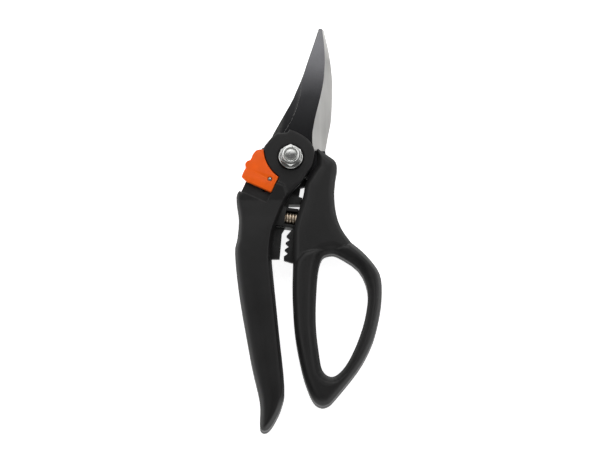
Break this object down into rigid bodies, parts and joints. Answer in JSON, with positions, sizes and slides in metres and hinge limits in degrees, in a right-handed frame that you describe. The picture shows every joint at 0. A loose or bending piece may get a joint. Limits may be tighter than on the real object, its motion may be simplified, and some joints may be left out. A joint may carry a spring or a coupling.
{
  "type": "pruning shears",
  "caption": "Hand-held bypass pruning shears with coated blades, a straight palm handle, a closed finger loop handle, a coil spring and a sliding thumb lock.",
  "frame": {"origin": "on the pivot axis, in the plane of the bolt head's back face, where the shears rest on a flat surface", "axes": "+Y from the pivot towards the blade tips, +Z out of the nut side, +X towards the finger loop"},
  "size_m": [0.0733, 0.2064, 0.0235],
  "materials": {
    "handle_black": "satin moulded, fine texture",
    "blade_coated": "black non-stick coating with a bright ground edge",
    "fastener_zinc": "bright zinc plate",
    "spring_steel": "yellow zinc plate",
    "lock_orange": "satin moulded",
    "washer_nylon": "plain nylon"
  },
  "bodies": {
    "palm_handle": {"palm_rear_shell": "handle_black", "palm_front_shell": "handle_black", "counter_blade": "blade_coated", "closing_stop": "handle_black", "palm_jaw": "handle_black", "spring_guide": "handle_black", "main_spring": "spring_steel", "pivot_bolt": "fastener_zinc", "pivot_bush": "fastener_zinc", "friction_washer_rear": "washer_nylon", "friction_washer_front": "washer_nylon", "nut_washer": "fastener_zinc", "pivot_nut": "fastener_zinc", "nut_insert": "washer_nylon", "detent_ball": "fastener_zinc", "detent_spring": "spring_steel", "palm_screw_upper": "fastener_zinc", "palm_screw_middle": "fastener_zinc", "palm_screw_lower": "fastener_zinc"},
    "finger_handle": {"finger_rear_shell": "handle_black", "finger_front_shell": "handle_black", "cutting_blade": "blade_coated", "finger_jaw": "handle_black", "finger_screw_upper": "fastener_zinc", "finger_screw_middle": "fastener_zinc", "finger_screw_lower": "fastener_zinc"},
    "lock": {"thumb_lock": "lock_orange", "lock_pin": "fastener_zinc"}
  },
  "joints": [
    {"name": "blade_pivot", "type": "hinge", "parent": "palm_handle", "child": "finger_handle", "pos_m": [0, 0, 0.009], "axis": [0, 0, 1], "range_deg": [0, 32], "deforming": ["main_spring"]},
    {"name": "lock_slide", "type": "slide", "parent": "palm_handle", "child": "lock", "axis": [-0.4195, -0.9078, 0], "range_m": [0, 0.0055]}
  ]
}
